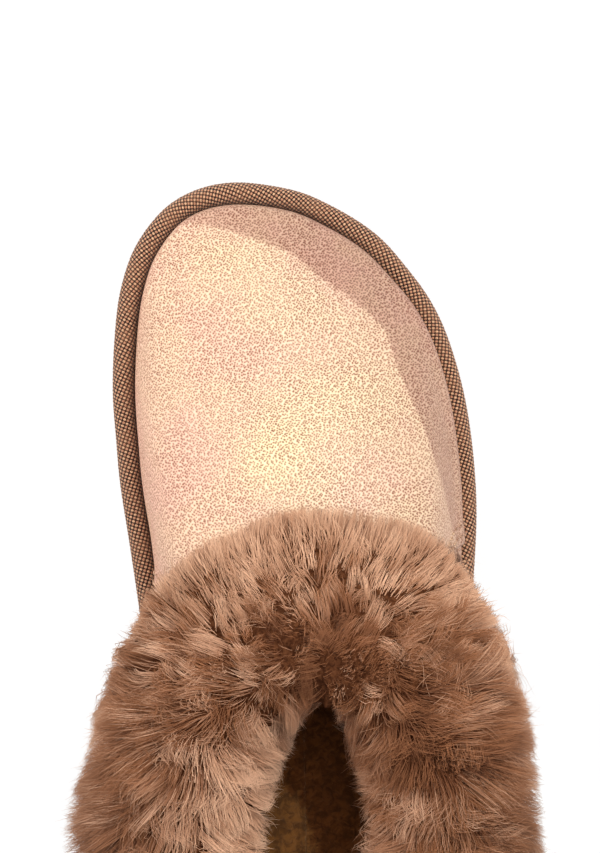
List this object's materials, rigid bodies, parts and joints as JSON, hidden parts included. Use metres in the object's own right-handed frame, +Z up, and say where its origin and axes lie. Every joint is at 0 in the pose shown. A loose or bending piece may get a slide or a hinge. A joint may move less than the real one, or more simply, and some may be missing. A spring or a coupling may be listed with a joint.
{
  "type": "slipper",
  "caption": "Closed-back house slipper with a pebbled leather vamp, a woven fabric rand round the platform sole and a long-pile fleece cuff round the collar; the sole flexes at the ball.",
  "frame": {"origin": "Centre of the bounding box in plan, on the ground plane that the tread pads stand on.", "axes": "+Y points to the toe (longest extent), +Z up from the ground (shortest extent), +X to the outer side of a right foot."},
  "size_m": [0.1292, 0.287, 0.0994],
  "materials": {
    "leather": "fine pebble grain with a soft pearly sheen",
    "lining": "short-pile plush",
    "pile": "long-pile plush fleece, matte",
    "footbed_pile": "short-pile fleece, matte",
    "rand_weave": "two-tone diagonal basket weave",
    "foam": "closed-cell foam",
    "platform": "firm closed-cell foam",
    "rubber": "moulded rubber, matte, ribbed",
    "board": "fibreboard",
    "stiffener": "thermoplastic stiffener sheet",
    "hide": "suede back of the cuff",
    "binding": "woven tape",
    "thread": "twisted polyester thread",
    "cord": "twisted filler cord"
  },
  "bodies": {
    "slipper": {"ball_tread": "rubber", "heel_tread": "rubber", "bottom_cover": "rubber", "platform_midsole": "platform", "platform_wrap": "rand_weave", "welt_cord": "cord", "insole_board": "board", "shank_board": "board", "heel_foam": "foam", "forefoot_foam": "foam", "footbed_fleece": "footbed_pile", "vamp": "leather", "lateral_quarter": "leather", "medial_quarter": "leather", "heel_counter": "stiffener", "vamp_lining": "lining", "quarter_lining": "lining", "back_strip": "leather", "collar_binding": "binding", "lateral_seam_thread": "thread", "medial_seam_thread": "thread", "feather_thread": "thread", "cuff_hide": "hide", "cuff_fleece": "pile", "collar_padding": "foam", "cuff_seam_thread": "thread"},
    "toe": {"toe_tread": "rubber", "toe_puff": "stiffener"}
  },
  "joints": [
    {"name": "ball_flex", "type": "hinge", "parent": "slipper", "child": "toe", "pos_m": [-0.00483, 0.06353, 0.0205], "axis": [1, 0, 0], "range_deg": [0, 25], "deforming": ["bottom_cover", "platform_midsole", "platform_wrap", "welt_cord", "insole_board", "forefoot_foam", "footbed_fleece", "vamp", "vamp_lining", "feather_thread"]}
  ]
}
